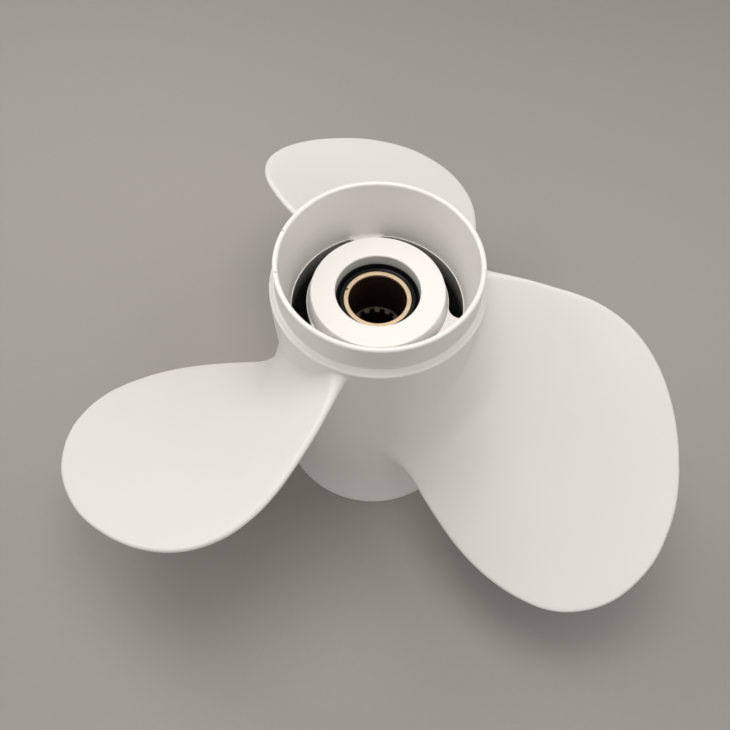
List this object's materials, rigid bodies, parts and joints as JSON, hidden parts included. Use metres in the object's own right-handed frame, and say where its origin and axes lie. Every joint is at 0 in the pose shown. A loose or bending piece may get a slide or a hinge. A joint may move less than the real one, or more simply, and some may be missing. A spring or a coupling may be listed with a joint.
{
  "type": "outboard boat propeller",
  "caption": "Right-hand outboard propeller: painted aluminium hub and blades, exhaust passages through the hub, rubber drive bush and splined brass sleeve.",
  "frame": {"origin": "on the shaft axis, in the plane of the hub's rear end", "axes": "+Z along the shaft axis towards the hub's front end; one blade points along +Y"},
  "size_m": [0.3138, 0.2936, 0.1635],
  "materials": {
    "white_paint": "satin white paint over cast aluminium",
    "black_rubber": "moulded black rubber",
    "sleeve_brass": "turned, slightly tarnished"
  },
  "bodies": {
    "root": {"casting": "white_paint", "rubber_bush": "black_rubber", "splined_sleeve": "sleeve_brass"}
  },
  "joints": []
}
